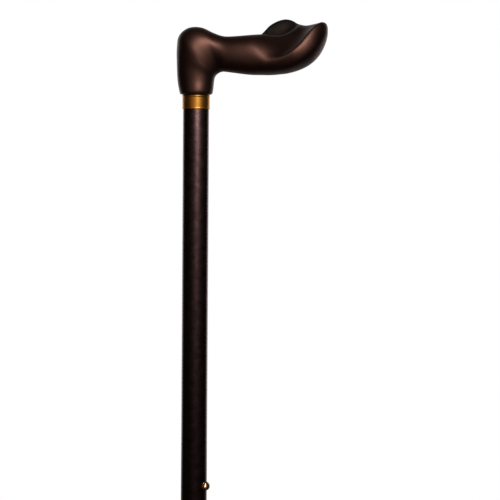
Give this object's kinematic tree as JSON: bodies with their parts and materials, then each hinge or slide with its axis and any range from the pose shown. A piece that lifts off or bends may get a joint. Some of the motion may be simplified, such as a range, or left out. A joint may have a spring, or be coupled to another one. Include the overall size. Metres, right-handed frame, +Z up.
{
  "type": "quad walking cane",
  "caption": "Height-adjustable walking cane with a moulded palm-rest handle, a telescoping tube with a snap button and lock nut, and a small four-footed base.",
  "frame": {"origin": "centre of the footprint of the four feet, on the floor", "axes": "+Z up along the shaft; +X towards the handle's tail; +Y towards the base's wide side, away from the user's leg"},
  "size_m": [0.21, 0.158, 0.7631],
  "materials": {
    "handle_paint": "satin bronze-brown metallic paint",
    "gold": "polished",
    "upper_tube_coat": "finely textured dark bronze coat",
    "bare_aluminium": "drawn",
    "steel_paint": "satin powder coat",
    "zinc_steel": "zinc plated",
    "spring_steel": "plain",
    "black_plastic": "moulded",
    "natural_plastic": "moulded",
    "rubber": "moulded, matt"
  },
  "bodies": {
    "base": {"lower_tube": "bare_aluminium", "lower_tube_glide": "natural_plastic", "button_spring_clip": "spring_steel", "column_sleeve": "black_plastic", "base_column": "steel_paint", "column_cap": "black_plastic", "column_bolt": "zinc_steel", "column_bolt_washer": "zinc_steel", "column_nut_washer": "zinc_steel", "column_cap_nut": "zinc_steel", "tie_plate": "steel_paint", "leg_arch_near": "steel_paint", "leg_arch_far": "steel_paint", "rubber_tip_front_near": "rubber", "rubber_tip_front_far": "rubber", "rubber_tip_rear_near": "rubber", "rubber_tip_rear_far": "rubber", "tip_washer_front_near": "zinc_steel", "tip_washer_front_far": "zinc_steel", "tip_washer_rear_near": "zinc_steel", "tip_washer_rear_far": "zinc_steel"},
    "upper": {"handle": "handle_paint", "handle_collar": "gold", "tube_top_plug": "natural_plastic", "upper_tube": "upper_tube_coat", "lock_collet": "black_plastic"},
    "button": {"height_button": "gold"},
    "wedge": {"grip_ring": "natural_plastic"},
    "nut": {"lock_nut": "black_plastic"}
  },
  "joints": [
    {"name": "height_slide", "type": "slide", "parent": "base", "child": "upper", "axis": [0, 0, 1], "range_m": [0, 0.1524]},
    {"name": "button_press", "type": "slide", "parent": "base", "child": "button", "axis": [-0.8829, 0.4695, 0], "range_m": [0, 0.0054], "stiffness_N_per_m": 3000, "springref_m": -0.001, "deforming": ["button_spring_clip"]},
    {"name": "nut_travel", "type": "slide", "parent": "upper", "child": "wedge", "axis": [0, 0, 1], "range_m": [-0.0045, 0]},
    {"name": "nut_turn", "type": "hinge", "parent": "wedge", "child": "nut", "pos_m": [-0.014, -0.0175, 0.17], "axis": [0, 0, 1], "range_deg": [-540, 0]}
  ],
  "couplings": [
    {"joint": "nut_travel", "follows": "nut_turn", "m_per_rad": 0.00047746}
  ]
}
